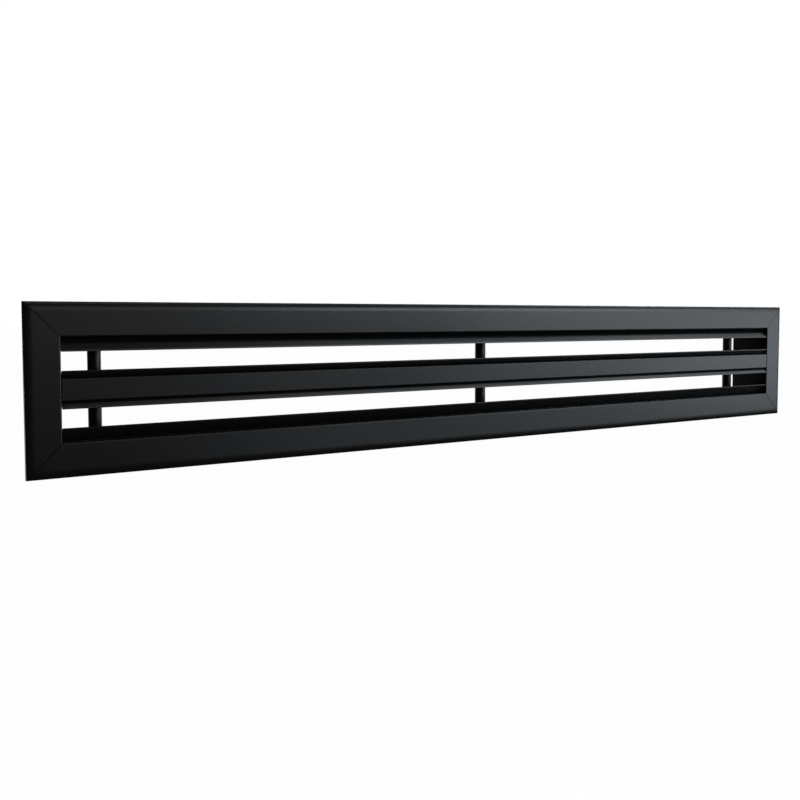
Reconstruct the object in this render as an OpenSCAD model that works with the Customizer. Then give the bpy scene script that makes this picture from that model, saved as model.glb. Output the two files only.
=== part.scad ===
// Two-slot linear diffuser: a mitred flanged frame, a centre bar and four turning blades.
// X runs along the slots, Z is up and the front faces -Y. Y = 0 is the plane of the wall.

/* [Frame] */
// Overall length of the flange
frame_l = 850; // [500:10:2000]
// Overall height of the flange
frame_h = 125; // [112:1:200]
// Width of the flange, from its outer edge to the opening
flange_w = 25; // [23:0.5:28]
// Depth of the flange, from its face to the wall
flange_d = 4.5; // [4.2:0.1:8]
// Thickness of the flange's front wall
flange_t = 1.6; // [1.2:0.1:2]
// Width of the rolled edge round the flange's outside
roll_w = 6.5; // [4:0.5:8]
// Depth of that rolled edge
roll_d = 1.8; // [1:0.1:2.4]
// Radius of the flange's edge at the opening
edge_r = 1.2; // [0.4:0.1:1.4]
// Thickness of the return that stands on the wall
return_t = 1.5; // [1:0.1:2.5]
// Depth of the neck behind the wall's plane
neck_d = 42; // [37:1:90]
// Thickness of the neck wall
neck_t = 1.6; // [1.2:0.1:2]
// Gap left between two mitred ends
mitre_gap = 0.2; // [0.1:0.05:0.4]

/* [Corner keys] */
// Distance from the opening to the key channel's inner side
key_offset = 5; // [4.5:0.5:6]
// Width of a key's leg
key_w = 9; // [8:0.5:10]
// Thickness of a key
key_t = 1.6; // [1.2:0.1:2]
// Length of a key's leg, from its outer corner
key_leg = 32; // [24:1:40]
// Clearance round a key in its channel
key_gap = 0.1; // [0.05:0.05:0.2]
// Thickness of the channel's side ribs
rib_t = 1.2; // [0.8:0.1:1.5]
// Overhang of the channel's lips
lip_w = 1.5; // [1:0.1:1.8]
// Distance that the lips stay short of the wall
lip_gap = 0.2; // [0.1:0.1:0.4]
// Diameter of a key's set screw
key_screw_d = 4; // [3:0.5:4.5]

/* [Centre bar] */
// Width of the bar's face
bar_w = 16; // [15:0.5:22]
// Thickness of the bar's face
bar_face_t = 1.8; // [1.4:0.1:2.4]
// Radius of the face's two front edges
bar_edge_r = 0.8; // [0.3:0.1:1.2]
// Thickness of the bar's inner walls
bar_wall = 1.5; // [1.2:0.1:2]
// Half the width of the hollow behind the face
bar_hollow = 1.3; // [1:0.1:1.6]
// Thickness of the web behind the hollow
web_t = 2; // [1.5:0.1:3]
// Distance from the blades' axes back to the front screw port
port_step = 4; // [3.8:0.1:4.6]
// Distance from the neck's rear edge to the rear screw port
rear_port_back = 6; // [5:0.5:7]
// Gap between the bar and each end rail
bar_gap = 0.3; // [0.1:0.05:0.6]

/* [Blades] */
// Distance from a blade's axis to the centre of its rounded tip
blade_w = 13.2; // [12:0.1:14]
// Thickness of a blade
blade_t = 1.2; // [1:0.1:1.4]
// Angle of a resting blade to the air's path
blade_angle = 55; // [50:1:60]
// Angle that a blade can turn through
blade_travel = 70; // [40:5:80]
// Distance from the face back to the tip of a resting frame blade
blade_setback = 0.6; // [0.4:0.1:2]
// Distance from the face back to the tip of a resting bar blade
bar_setback = 0.1; // [0:0.1:1]
// Depth of the flat that is cut on a blade's rounded tip
tip_cut = 0.3; // [0.1:0.05:0.4]
// Angle between that flat and the face when the blade rests
tip_lean = 5; // [0:1:10]
// Gap between a blade's end and the end rail
blade_gap = 0.5; // [0.3:0.1:1.5]
// Diameter of the bead that a blade turns on
bead_d = 2.8; // [2.6:0.1:3.2]
// Running clearance round the bead
bead_gap = 0.05; // [0.03:0.01:0.08]
// Thickness of the groove's wall
groove_wall = 1; // [0.8:0.1:1.4]
// Angle left free at each side of a blade in the groove's mouth
mouth_free = 4; // [3:1:5]
// Distance from the opening's edge out to a frame blade's axis
rail_outset = 1; // [0.5:0.1:1.5]
// Distance from the bar's middle to a bar blade's axis
bar_axis_z = 2.3; // [2:0.1:2.8]

/* [Tie rods and screws] */
// Diameter of a tie rod
rod_d = 5; // [4:0.5:6]
// Distance from the neck's rear edge to the tie rods
rod_back = 16; // [15:0.5:19]
// Distance from each end of the opening to the outer tie rods
rod_inset = 32; // [15:1:100]
// Outer diameter of a spacer tube
spacer_d = 10; // [8.5:0.5:12]
// Clearance round a rod or screw in a plain hole
hole_gap = 0.25; // [0.15:0.05:0.4]
// Clearance round a rod or screw in a threaded hole
thread_gap = 0.05; // [0.02:0.01:0.1]
// Diameter of a washer
washer_d = 10; // [9.5:0.5:14]
// Thickness of a washer
washer_t = 1; // [0.5:0.1:2]
// Width of a nut across its flats
nut_af = 8; // [7.5:0.5:9.5]
// Height of a nut
nut_h = 4; // [2.5:0.5:6]
// Length of rod that shows past a nut
rod_end = 1.5; // [0.5:0.5:4]
// Diameter of a bar screw's shank
screw_d = 3.9; // [3.4:0.1:4]
// Length of a bar screw under its head
screw_l = 14; // [8:1:25]
// Diameter of a bar screw's head
screw_head_d = 7.5; // [6.5:0.5:8]
// Height of a bar screw's head
screw_head_h = 2.4; // [1.6:0.2:3]
// Wall round the bar's screw ports
port_wall = 1; // [0.8:0.1:1.3]

/* [Fixing holes] */
// Diameter of the fixing holes in the necks of the long rails
fix_d = 4.5; // [3:0.5:6]
// Distance from each end of the opening to a rail's fixing holes
fix_inset = 100; // [60:5:150]
// Distance from the neck's rear edge to the fixing holes
fix_back = 8; // [5:0.5:12]

/* [Hidden] */

$fn = 48;
black = [0.06, 0.06, 0.065];
steel = [0.62, 0.63, 0.65];
over = 1;
arc_steps = 6;
roll_steps = 10;

// Opening between the rails, and the front plane
open_l = frame_l - 2 * flange_w;
open_h = frame_h - 2 * flange_w;
front_y = -flange_d;
flange_back_y = front_y + flange_t;

// Key channel
key_y = flange_back_y + key_gap / 2;
lip_y = flange_back_y + key_t + key_gap;
key_outer = key_offset + key_w;
key_screw_l = flange_d - flange_t - lip_gap;
key_screw_at = key_leg / 2 + key_w / 4;
key_socket_af = key_screw_d / 2;
key_socket_depth = key_screw_l / 2;

// Blade hinge
bead_r = bead_d / 2;
groove_r = bead_r + bead_gap;
boss_r = groove_r + groove_wall;
tip_d = blade_t / 2 - tip_cut;
hinge_y = front_y + blade_setback + tip_d + blade_w * cos(blade_angle);
bar_hinge_y = hinge_y - blade_setback + bar_setback;
mouth_mid = blade_angle + blade_travel / 2;
mouth_half = blade_travel / 2 + asin(blade_t / 2 / groove_r) + mouth_free;
rail_axis_z = open_h / 2 + rail_outset;
blade_l = open_l - 2 * blade_gap;

// Centre bar
rear_port_y = neck_d - rear_port_back;
bar_l = open_l - 2 * bar_gap;
port_r = screw_d / 2 + thread_gap;
port_boss_r = port_r + port_wall;
front_port_y = bar_hinge_y + port_step;
port_ys = [front_port_y, rear_port_y];
core_y = bar_hinge_y - groove_r;

// Tie rods and fixing holes
rod_y = neck_d - rod_back;
fix_y = neck_d - fix_back;
fix_xs = [-open_l / 2 + fix_inset, open_l / 2 - fix_inset];
rod_xs = [-open_l / 2 + rod_inset, 0, open_l / 2 - rod_inset];
rod_hole_d = rod_d + 2 * hole_gap;
neck_top = open_h / 2 + neck_t;
nut_z = neck_top + washer_t;
rod_top = nut_z + nut_h + rod_end;
spacer_l = open_h / 2 - web_t / 2;

// Points of an arc from angle a0 to angle a1
function arc(centre, r, a0, a1) =
    [for (i = [0 : arc_steps]) let (a = a0 + (a1 - a0) * i / arc_steps) centre + r * [cos(a), sin(a)]];

// Points of a quarter oval that rolls from the face to the flange's side
function roll(centre) =
    [for (i = [0 : roll_steps]) let (a = 90 * i / roll_steps) centre + [roll_w * sin(a), -roll_d * cos(a)]];

// Direction at angle t from straight forward, turning towards the middle of the slot
function aim(t) = [-sin(t), -cos(t)];

// Sections are drawn with x outward from the opening's edge and y as depth.

// Flange and neck in one wall, with a rolled outer edge and a return to the wall
module flange_section() {
    roll_start = flange_w - roll_w;
    polygon(concat(
        [[0, neck_d]],
        arc([edge_r, front_y + edge_r], edge_r, 180, 270),
        roll([roll_start, front_y + roll_d]),
        [
            [flange_w, 0],
            [flange_w - return_t, 0],
            [flange_w - return_t, flange_back_y + roll_d / 2],
            [roll_start, flange_back_y],
            [neck_t, flange_back_y],
            [neck_t, neck_d]
        ]
    ));
}

// Two lipped ribs behind the flange, between which the corner keys slide
module key_channel_section() {
    rib_h = -lip_gap - flange_back_y + over / 2;
    lip_h = -lip_gap - lip_y;
    for (side = [0, 1]) {
        inner = key_offset - key_gap / 2;
        outer = key_outer + key_gap / 2;
        translate([side == 0 ? inner - rib_t : outer, flange_back_y - over / 2])
            square([rib_t, rib_h]);
        translate([side == 0 ? inner - rib_t : outer - lip_w, lip_y])
            square([rib_t + lip_w, lip_h]);
    }
}

module frame_section() {
    flange_section();
    key_channel_section();
}

// Groove for the bead, and the mouth in which the blade swings
module hinge_groove() {
    circle(groove_r);
    polygon(concat(
        [[0, 0]],
        [for (k = [-1 : 0.5 : 1]) 2 * boss_r * aim(mouth_mid + k * mouth_half)]
    ));
}

// Frame section with the hinge groove of the long rails
module long_rail_section() {
    hinge_at = [rail_outset, hinge_y];
    difference() {
        union() {
            frame_section();
            translate(hinge_at)
                circle(boss_r);
        }
        translate(hinge_at)
            hinge_groove();
    }
}

// Hollow bar with a face, two hinge grooves on a core, a web and two screw ports
module centre_bar_section() {
    half = bar_w / 2;
    face_back_y = front_y + bar_face_t;
    difference() {
        union() {
            polygon(concat(
                [[-half, face_back_y]],
                arc([-half + bar_edge_r, front_y + bar_edge_r], bar_edge_r, 180, 270),
                arc([half - bar_edge_r, front_y + bar_edge_r], bar_edge_r, 270, 360),
                [[half, face_back_y]]
            ));
            for (side = [0, 1])
                mirror([side, 0]) {
                    translate([bar_hollow, face_back_y - bar_face_t / 2])
                        square([bar_wall, bar_hinge_y - face_back_y + bar_face_t / 2]);
                    translate([bar_axis_z, bar_hinge_y])
                        circle(boss_r);
                }
            translate([-bar_hollow, core_y])
                square([2 * bar_hollow, front_port_y - core_y]);
            translate([-web_t / 2, front_port_y])
                square([web_t, rear_port_y - front_port_y]);
            for (y = port_ys)
                translate([0, y])
                    circle(port_boss_r);
        }
        for (y = port_ys)
            translate([0, y])
                circle(port_r);
        for (side = [0, 1])
            mirror([side, 0])
                translate([-bar_axis_z, bar_hinge_y])
                    hinge_groove();
    }
}

// Blade on its bead, about the hinge axis, with a flat on its tip
module blade_section() {
    along = aim(blade_angle);
    side = blade_t / 2 * [-along[1], along[0]];
    tip_a = atan2(side[1], side[0]);
    circle(bead_r);
    difference() {
        polygon(concat(
            [-side],
            arc(blade_w * along, blade_t / 2, tip_a - 180, tip_a),
            [side]
        ));
        translate(blade_w * along)
            rotate(tip_lean)
                translate([-blade_t, -tip_d - blade_t])
                    square([2 * blade_t, blade_t]);
    }
}

// Turns a section so that its x points up and it runs along the slots
module run_along_x(length) {
    rotate([0, -90, 0])
        linear_extrude(length, center = true)
            children();
}

// Keeps what lies between the two 45 degree mitres of a rail that is on the +Z side
module mitre_wedge(length, height) {
    gap = mitre_gap / 2 * sqrt(2);
    deep = height / 2;
    translate([0, neck_d + over, 0])
        rotate([90, 0, 0])
            linear_extrude(neck_d + flange_d + 2 * over)
                polygon([
                    [-length / 2 - over + gap, deep + over],
                    [length / 2 + over - gap, deep + over],
                    [length / 2 - deep - gap, 0],
                    [-length / 2 + deep + gap, 0]
                ]);
}

// Long rail on the +Z side, with its tie rod and fixing holes
module long_rail() {
    color(black)
        difference() {
            intersection() {
                translate([0, 0, open_h / 2])
                    run_along_x(frame_l)
                        long_rail_section();
                mitre_wedge(frame_l, frame_h);
            }
            for (x = rod_xs)
                translate([x, rod_y, open_h / 2 - over])
                    cylinder(d = rod_hole_d, h = neck_t + 2 * over);
            for (x = fix_xs)
                translate([x, fix_y, open_h / 2 - over])
                    cylinder(d = fix_d, h = neck_t + 2 * over);
        }
}

// End rail on the +X side, with its two screw holes for the bar
module end_rail() {
    wedge_h = frame_h / 2;
    gap = mitre_gap / 2 * sqrt(2);
    color(black)
        difference() {
            intersection() {
                translate([open_l / 2, 0, 0])
                    linear_extrude(frame_h, center = true)
                        frame_section();
                translate([0, neck_d + over, 0])
                    rotate([90, 0, 0])
                        linear_extrude(neck_d + flange_d + 2 * over)
                            polygon([
                                [frame_l / 2 + over, wedge_h + over - gap],
                                [frame_l / 2 + over, -wedge_h - over + gap],
                                [frame_l / 2 - wedge_h + gap, 0]
                            ]);
            }
            for (y = port_ys)
                translate([open_l / 2 - over, y, 0])
                    rotate([0, 90, 0])
                        cylinder(d = screw_d + 2 * hole_gap, h = neck_t + 2 * over);
        }
}

// Blade whose slot lies below its axis, with that axis at the given depth and height
module blade(axis_y, axis_z) {
    color(black)
        translate([0, axis_y, axis_z])
            run_along_x(blade_l)
                blade_section();
}

// Spacer tube that stands on the web
module spacer(x) {
    color(black)
        translate([x, rod_y, web_t / 2])
            difference() {
                cylinder(d = spacer_d, h = spacer_l);
                translate([0, 0, -over])
                    cylinder(d = rod_hole_d, h = spacer_l + 2 * over);
            }
}

module tie_rod(x) {
    color(steel)
        translate([x, rod_y, -rod_top])
            cylinder(d = rod_d, h = 2 * rod_top);
}

// Places children at both ends of every tie rod, with +Z outward
module at_rod_ends() {
    for (x = rod_xs)
        for (side = [0, 1])
            mirror([0, 0, side])
                translate([x, rod_y, 0])
                    children();
}

// L-shaped key in the top right corner, with a threaded hole in each leg
module corner_key() {
    color(steel)
        difference() {
            translate([open_l / 2, key_y + key_t, open_h / 2])
                rotate([90, 0, 0])
                    linear_extrude(key_t)
                        polygon([
                            [key_outer, key_outer],
                            [key_outer - key_leg, key_outer],
                            [key_outer - key_leg, key_offset],
                            [key_offset, key_offset],
                            [key_offset, key_outer - key_leg],
                            [key_outer, key_outer - key_leg]
                        ]);
            at_key_screws()
                translate([0, 0, -over])
                    cylinder(d = key_screw_d + 2 * thread_gap, h = flange_d + 2 * over);
        }
}

// Places children at the two set screws of the top right key, with +Z towards the wall
module at_key_screws() {
    middle = key_offset + key_w / 2;
    for (place = [[key_outer - key_screw_at, middle], [middle, key_outer - key_screw_at]])
        translate([open_l / 2 + place[0], flange_back_y, open_h / 2 + place[1]])
            rotate([-90, 0, 0])
                children();
}

// Places children in all four corners
module at_corners() {
    for (x = [0, 1])
        for (z = [0, 1])
            mirror([x, 0, 0])
                mirror([0, 0, z])
                    children();
}

// Sub-parts

module top_rail() {
    long_rail();
}

module bottom_rail() {
    mirror([0, 0, 1])
        long_rail();
}

module left_rail() {
    mirror([1, 0, 0])
        end_rail();
}

module right_rail() {
    end_rail();
}

module centre_bar() {
    color(black)
        difference() {
            run_along_x(bar_l)
                centre_bar_section();
            for (x = rod_xs)
                translate([x, rod_y, -web_t / 2 - over])
                    cylinder(d = rod_hole_d, h = web_t + 2 * over);
        }
}

module upper_slot_top_blade() {
    blade(hinge_y, rail_axis_z);
}

module upper_slot_bottom_blade() {
    mirror([0, 0, 1])
        blade(bar_hinge_y, -bar_axis_z);
}

module lower_slot_top_blade() {
    blade(bar_hinge_y, -bar_axis_z);
}

module lower_slot_bottom_blade() {
    mirror([0, 0, 1])
        blade(hinge_y, rail_axis_z);
}

module upper_left_spacer() {
    spacer(rod_xs[0]);
}

module upper_middle_spacer() {
    spacer(rod_xs[1]);
}

module upper_right_spacer() {
    spacer(rod_xs[2]);
}

module lower_left_spacer() {
    mirror([0, 0, 1])
        spacer(rod_xs[0]);
}

module lower_middle_spacer() {
    mirror([0, 0, 1])
        spacer(rod_xs[1]);
}

module lower_right_spacer() {
    mirror([0, 0, 1])
        spacer(rod_xs[2]);
}

module left_tie_rod() {
    tie_rod(rod_xs[0]);
}

module middle_tie_rod() {
    tie_rod(rod_xs[1]);
}

module right_tie_rod() {
    tie_rod(rod_xs[2]);
}

module tie_rod_nuts() {
    color(steel)
        at_rod_ends()
            translate([0, 0, nut_z])
                difference() {
                    cylinder(d = nut_af / cos(30), h = nut_h, $fn = 6);
                    translate([0, 0, -over])
                        cylinder(d = rod_d + 2 * thread_gap, h = nut_h + 2 * over);
                }
}

module tie_rod_washers() {
    color(steel)
        at_rod_ends()
            translate([0, 0, neck_top])
                difference() {
                    cylinder(d = washer_d, h = washer_t);
                    translate([0, 0, -over])
                        cylinder(d = rod_hole_d, h = washer_t + 2 * over);
                }
}

module top_right_key() {
    corner_key();
}

module top_left_key() {
    mirror([1, 0, 0])
        corner_key();
}

module bottom_right_key() {
    mirror([0, 0, 1])
        corner_key();
}

module bottom_left_key() {
    mirror([1, 0, 0])
        mirror([0, 0, 1])
            corner_key();
}

module corner_key_screws() {
    color(steel)
        at_corners()
            at_key_screws()
                difference() {
                    cylinder(d = key_screw_d, h = key_screw_l);
                    translate([0, 0, key_screw_l - key_socket_depth])
                        cylinder(d = key_socket_af / cos(30), h = key_socket_depth + over, $fn = 6);
                }
}

module centre_bar_screws() {
    slot_w = screw_head_d / 6;
    slot_l = screw_head_d * 0.6;
    slot_depth = screw_head_h / 2;
    color(steel)
        for (end = [0, 1])
            mirror([end, 0, 0])
                for (y = port_ys)
                    translate([open_l / 2 + neck_t, y, 0])
                        rotate([0, 90, 0]) {
                            translate([0, 0, -screw_l])
                                cylinder(d = screw_d, h = screw_l + screw_head_h / 2);
                            difference() {
                                cylinder(d = screw_head_d, h = screw_head_h);
                                for (turn = [0, 90])
                                    rotate(turn)
                                        translate([-slot_l / 2, -slot_w / 2, screw_head_h - slot_depth])
                                            cube([slot_l, slot_w, slot_depth + over]);
                            }
                        }
}

top_rail();
bottom_rail();
left_rail();
right_rail();
centre_bar();
upper_slot_top_blade();
upper_slot_bottom_blade();
lower_slot_top_blade();
lower_slot_bottom_blade();
upper_left_spacer();
upper_middle_spacer();
upper_right_spacer();
lower_left_spacer();
lower_middle_spacer();
lower_right_spacer();
left_tie_rod();
middle_tie_rod();
right_tie_rod();
tie_rod_nuts();
tie_rod_washers();
top_left_key();
top_right_key();
bottom_left_key();
bottom_right_key();
corner_key_screws();
centre_bar_screws();
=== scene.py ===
"""Dresses the two-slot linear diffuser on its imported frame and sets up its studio.

Sizes in the classes are in millimetres and angles in degrees. X runs along the slots, Z is up, the front
faces -Y, and Y = 0 is the plane of the wall.
"""

import logging
import math
from collections.abc import Iterator
from contextlib import contextmanager
from dataclasses import dataclass
from enum import Enum
from functools import reduce
from typing import Any, Union

import bmesh
import bpy
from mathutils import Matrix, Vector


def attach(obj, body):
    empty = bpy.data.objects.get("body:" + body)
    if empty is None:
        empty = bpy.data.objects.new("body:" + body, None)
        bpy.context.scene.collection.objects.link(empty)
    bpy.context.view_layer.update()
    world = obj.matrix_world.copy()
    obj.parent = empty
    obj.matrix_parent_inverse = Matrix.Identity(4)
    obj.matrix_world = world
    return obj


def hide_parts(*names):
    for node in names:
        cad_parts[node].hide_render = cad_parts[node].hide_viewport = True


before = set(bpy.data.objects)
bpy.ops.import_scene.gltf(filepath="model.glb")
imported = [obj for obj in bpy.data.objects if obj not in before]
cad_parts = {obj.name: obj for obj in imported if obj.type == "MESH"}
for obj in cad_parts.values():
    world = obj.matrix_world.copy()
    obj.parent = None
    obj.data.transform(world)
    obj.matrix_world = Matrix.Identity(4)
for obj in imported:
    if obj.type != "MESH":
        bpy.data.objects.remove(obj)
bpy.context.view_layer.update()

log = logging.getLogger("diffuser")
MM = 0.001

Material = bpy.types.Material
Colour = tuple[float, float, float, float]
Span = tuple[float, float]
Key = Union[str, int]
Field = Union["Value", int, float]
WHITE: Colour = (1.0, 1.0, 1.0, 1.0)


class Slot(Enum):
    """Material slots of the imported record."""

    FRAME = "frame_black"
    BLADE = "blade_black"
    SPACER = "spacer_black"
    KEY = "key_aluminium"
    ZINC = "zinc_steel"


class Body(Enum):
    """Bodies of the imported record."""

    FRAME = "frame"
    UPPER_TOP = "upper_slot_top_blade"
    UPPER_BOTTOM = "upper_slot_bottom_blade"
    LOWER_TOP = "lower_slot_top_blade"
    LOWER_BOTTOM = "lower_slot_bottom_blade"


class Axis(Enum):
    """Main directions of the part."""

    X = (1.0, 0.0, 0.0)
    Y = (0.0, 1.0, 0.0)
    Z = (0.0, 0.0, 1.0)

    @property
    def vector(self) -> Vector:
        """The direction as a vector."""
        return Vector(self.value)


RIGHT, INWARD, UP = (axis.vector for axis in Axis)


class Cut(Enum):
    """Ways in which a tool body works on a piece."""

    DRILL = "DIFFERENCE"
    TRIM = "INTERSECT"
    WELD = "UNION"


class Ray(Enum):
    """Kinds of ray that the floor and the world tell apart."""

    CAMERA = "Is Camera Ray"
    TRANSMISSION = "Is Transmission Ray"
    GLOSSY = "Is Glossy Ray"


def mm(x: float, y: float, z: float) -> Vector:
    """Point given in millimetres, in metres."""
    return Vector((x, y, z)) * MM


class Value:
    """A shader socket that takes part in Python arithmetic."""

    def __init__(self, graph: "Graph", socket: bpy.types.NodeSocket) -> None:
        """Wraps an output socket of a graph."""
        self.graph = graph
        self.socket = socket

    def _math(self, operation: str, first: Field, second: Field) -> "Value":
        """Adds one Math node for two operands and returns its result."""
        return self.graph.node("ShaderNodeMath", {"operation": operation}, {0: first, 1: second})

    def __add__(self, other: Field) -> "Value":
        """Sum of the two."""
        return self._math("ADD", self, other)

    def __sub__(self, other: Field) -> "Value":
        """Difference of the two."""
        return self._math("SUBTRACT", self, other)

    def __rsub__(self, other: Field) -> "Value":
        """Difference, with the number first."""
        return self._math("SUBTRACT", other, self)

    def __mul__(self, other: Field) -> "Value":
        """Product of the two."""
        return self._math("MULTIPLY", self, other)

    def largest(self, other: Field) -> "Value":
        """Larger of the two."""
        return self._math("MAXIMUM", self, other)

    __radd__ = __add__
    __rmul__ = __mul__


class Graph:
    """Node graph of a material or a world."""

    def __init__(self, owner: Union[Material, bpy.types.World]) -> None:
        """Empties the owner's node tree.

        Args:
            owner: Material or world whose nodes are written.
        """
        owner.use_nodes = True
        self.tree = owner.node_tree
        self.tree.nodes.clear()

    def node(self, kind: str, settings: dict[str, Any], sockets: dict[Key, Any], output: Key = 0) -> Value:
        """Adds a node.

        Args:
            kind: Node type.
            settings: Properties that are set first.
            sockets: Values or links, by the socket's name or place.
            output: Name or place of the output to hand back.

        Returns:
            The chosen output, or the node's last input where it has no output.
        """
        made = self.tree.nodes.new(kind)
        for key, setting in settings.items():
            setattr(made, key, setting)
        for key, value in sockets.items():
            if isinstance(value, Value):
                self.tree.links.new(value.socket, made.inputs[key])
            else:
                made.inputs[key].default_value = value
        return Value(self, made.outputs[output] if made.outputs else made.inputs[-1])

    def place(self) -> Value:
        """Object coordinates of the shaded point."""
        return self.node("ShaderNodeTexCoord", {}, {}, "Object")

    def stretched(self, place: Value, along: Axis, share: float) -> Value:
        """Coordinates that keep only a share of their scale along one axis."""
        scale = tuple(share if part else 1.0 for part in along.value)
        return self.node("ShaderNodeMapping", {"vector_type": "POINT"}, {"Vector": place, "Scale": scale})

    def noise(self, place: Value, size: float, detail: float) -> Value:
        """Soft noise between 0 and 1, with features of a size in millimetres and octaves of detail."""
        sockets = {"Vector": place, "Scale": 1.0 / (size * MM), "Detail": detail, "Roughness": 0.5}
        return self.node("ShaderNodeTexNoise", {"noise_dimensions": "3D"}, sockets)

    def mix(self, factor: Field, first: Any, second: Any) -> Value:
        """Colour between two others, with the second one's share as the factor."""
        settings = {"data_type": "RGBA", "clamp_factor": True}
        return self.node("ShaderNodeMix", settings, {0: factor, 6: first, 7: second}, 2)

    def bump(self, height: Value, strength: float, relief: float) -> Value:
        """Normal that follows a height between 0 and 1, over a relief in millimetres."""
        sockets = {"Strength": strength, "Distance": relief * MM, "Height": height}
        return self.node("ShaderNodeBump", {}, sockets, "Normal")

    def rays(self, *kinds: Ray) -> Value:
        """1 for rays of the given kinds, and 0 for others."""
        tests = [self.node("ShaderNodeLightPath", {}, {}, kind.value) for kind in kinds]
        return reduce(Value.largest, tests)


@dataclass(frozen=True)
class Finish:
    """Base of the finishes, each of which ends in one Principled surface."""

    name: str

    def sockets(self, graph: Graph, place: Value) -> dict[Key, Any]:
        """Values and links of the Principled shader, which each finish gives for itself."""
        raise NotImplementedError

    def material(self) -> Material:
        """Builds the material.

        Returns:
            The new material.
        """
        made = bpy.data.materials.new(self.name)
        graph = Graph(made)
        shader = graph.node("ShaderNodeBsdfPrincipled", {}, self.sockets(graph, graph.place()), "BSDF")
        graph.node("ShaderNodeOutputMaterial", {}, {"Surface": shader})
        return made


@dataclass(frozen=True)
class PowderCoat(Finish):
    """Black powder coat on an extrusion, with a fine peel and faint die lines under it."""

    run: Axis
    colour: Colour = (0.0060, 0.0061, 0.0063, 1.0)
    light_colour: Colour = (0.0085, 0.0086, 0.0089, 1.0)
    cloud_tone: float = 0.6
    grain_tone: float = 0.4
    ior: float = 1.5
    roughness: float = 0.27
    spread: float = 0.03
    peel_size: float = 1.6
    peel_height: float = 0.55
    grain_size: float = 0.22
    grain_height: float = 0.25
    cloud_size: float = 26.0
    die_line_size: float = 0.9
    die_line_stretch: float = 0.004
    die_line_height: float = 0.2
    relief: float = 0.02
    strength: float = 0.35

    def sockets(self, graph: Graph, place: Value) -> dict[Key, Any]:
        """Lays out the coat's nodes.

        Args:
            graph: Graph of the material.
            place: Object coordinates.

        Returns:
            Values and links of the Principled shader.
        """
        peel = graph.noise(place, self.peel_size, detail=1.0)
        grain = graph.noise(place, self.grain_size, detail=1.0)
        cloud = graph.noise(place, self.cloud_size, detail=3.0)
        drawn = graph.stretched(place, self.run, self.die_line_stretch)
        die_line = graph.noise(drawn, self.die_line_size, detail=2.0)
        tone = cloud * self.cloud_tone + grain * self.grain_tone
        height = peel * self.peel_height + grain * self.grain_height + die_line * self.die_line_height
        return {
            "Base Color": graph.mix(tone, self.colour, self.light_colour),
            "Roughness": (cloud - 0.5) * self.spread + (die_line - 0.5) * self.spread + self.roughness,
            "IOR": self.ior,
            "Normal": graph.bump(height, self.strength, self.relief),
        }


@dataclass(frozen=True)
class BareMetal(Finish):
    """Base of the bare metals, with clouds and drawn lines along X."""

    colour: Colour
    tint: Colour
    cloud_tone: float
    line_tone: float
    roughness: float
    spread: float
    cloud_size: float
    line_size: float
    line_stretch: float
    relief: float
    strength: float

    def sockets(self, graph: Graph, place: Value) -> dict[Key, Any]:
        """Lays out the metal's nodes.

        Args:
            graph: Graph of the material.
            place: Object coordinates.

        Returns:
            Values and links of the Principled shader.
        """
        cloud = graph.noise(place, self.cloud_size, detail=3.0)
        line = graph.noise(graph.stretched(place, Axis.X, self.line_stretch), self.line_size, detail=2.0)
        return {
            "Base Color": graph.mix(cloud * self.cloud_tone + line * self.line_tone, self.colour, self.tint),
            "Metallic": 1.0,
            "Roughness": (cloud - 0.5) * self.spread + (line - 0.5) * self.spread + self.roughness,
            "Normal": graph.bump(line, self.strength, self.relief),
        }


@dataclass(frozen=True)
class ZincPlate(BareMetal):
    """Bright zinc plate on steel, with clouded passivation and fine scratches."""

    colour: Colour = (0.60, 0.62, 0.65, 1.0)
    tint: Colour = (0.68, 0.67, 0.60, 1.0)
    cloud_tone: float = 1.0
    line_tone: float = 0.0
    roughness: float = 0.30
    spread: float = 0.16
    cloud_size: float = 3.0
    line_size: float = 0.25
    line_stretch: float = 0.06
    relief: float = 0.01
    strength: float = 0.25


@dataclass(frozen=True)
class MillAluminium(BareMetal):
    """Bare extruded aluminium with drawn lines and a dull oxide."""

    colour: Colour = (0.74, 0.75, 0.76, 1.0)
    tint: Colour = (0.58, 0.59, 0.60, 1.0)
    cloud_tone: float = 0.6
    line_tone: float = 0.4
    roughness: float = 0.38
    spread: float = 0.18
    cloud_size: float = 5.0
    line_size: float = 0.18
    line_stretch: float = 0.02
    relief: float = 0.012
    strength: float = 0.3


@dataclass(frozen=True)
class Arc:
    """Round side of an outline about a centre, through a signed sweep. A straight side is its end point."""

    u: float
    v: float
    sweep: float
    steps: int


Step = Union[Span, Arc]


@dataclass(frozen=True)
class Sheet:
    """Plane on which an outline is drawn, with u and v along two directions."""

    origin: Vector
    u_axis: Vector
    v_axis: Vector

    def at(self, u: float, v: float) -> Vector:
        """Point of the plane, in metres."""
        return self.origin + (self.u_axis * u + self.v_axis * v) * MM

    @property
    def normal(self) -> Vector:
        """Direction across the plane."""
        return self.u_axis.cross(self.v_axis)


@dataclass(frozen=True)
class Thread:
    """Screw thread, by its outer diameter, its depth and its pitch."""

    across: float
    depth: float
    pitch: float


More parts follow.
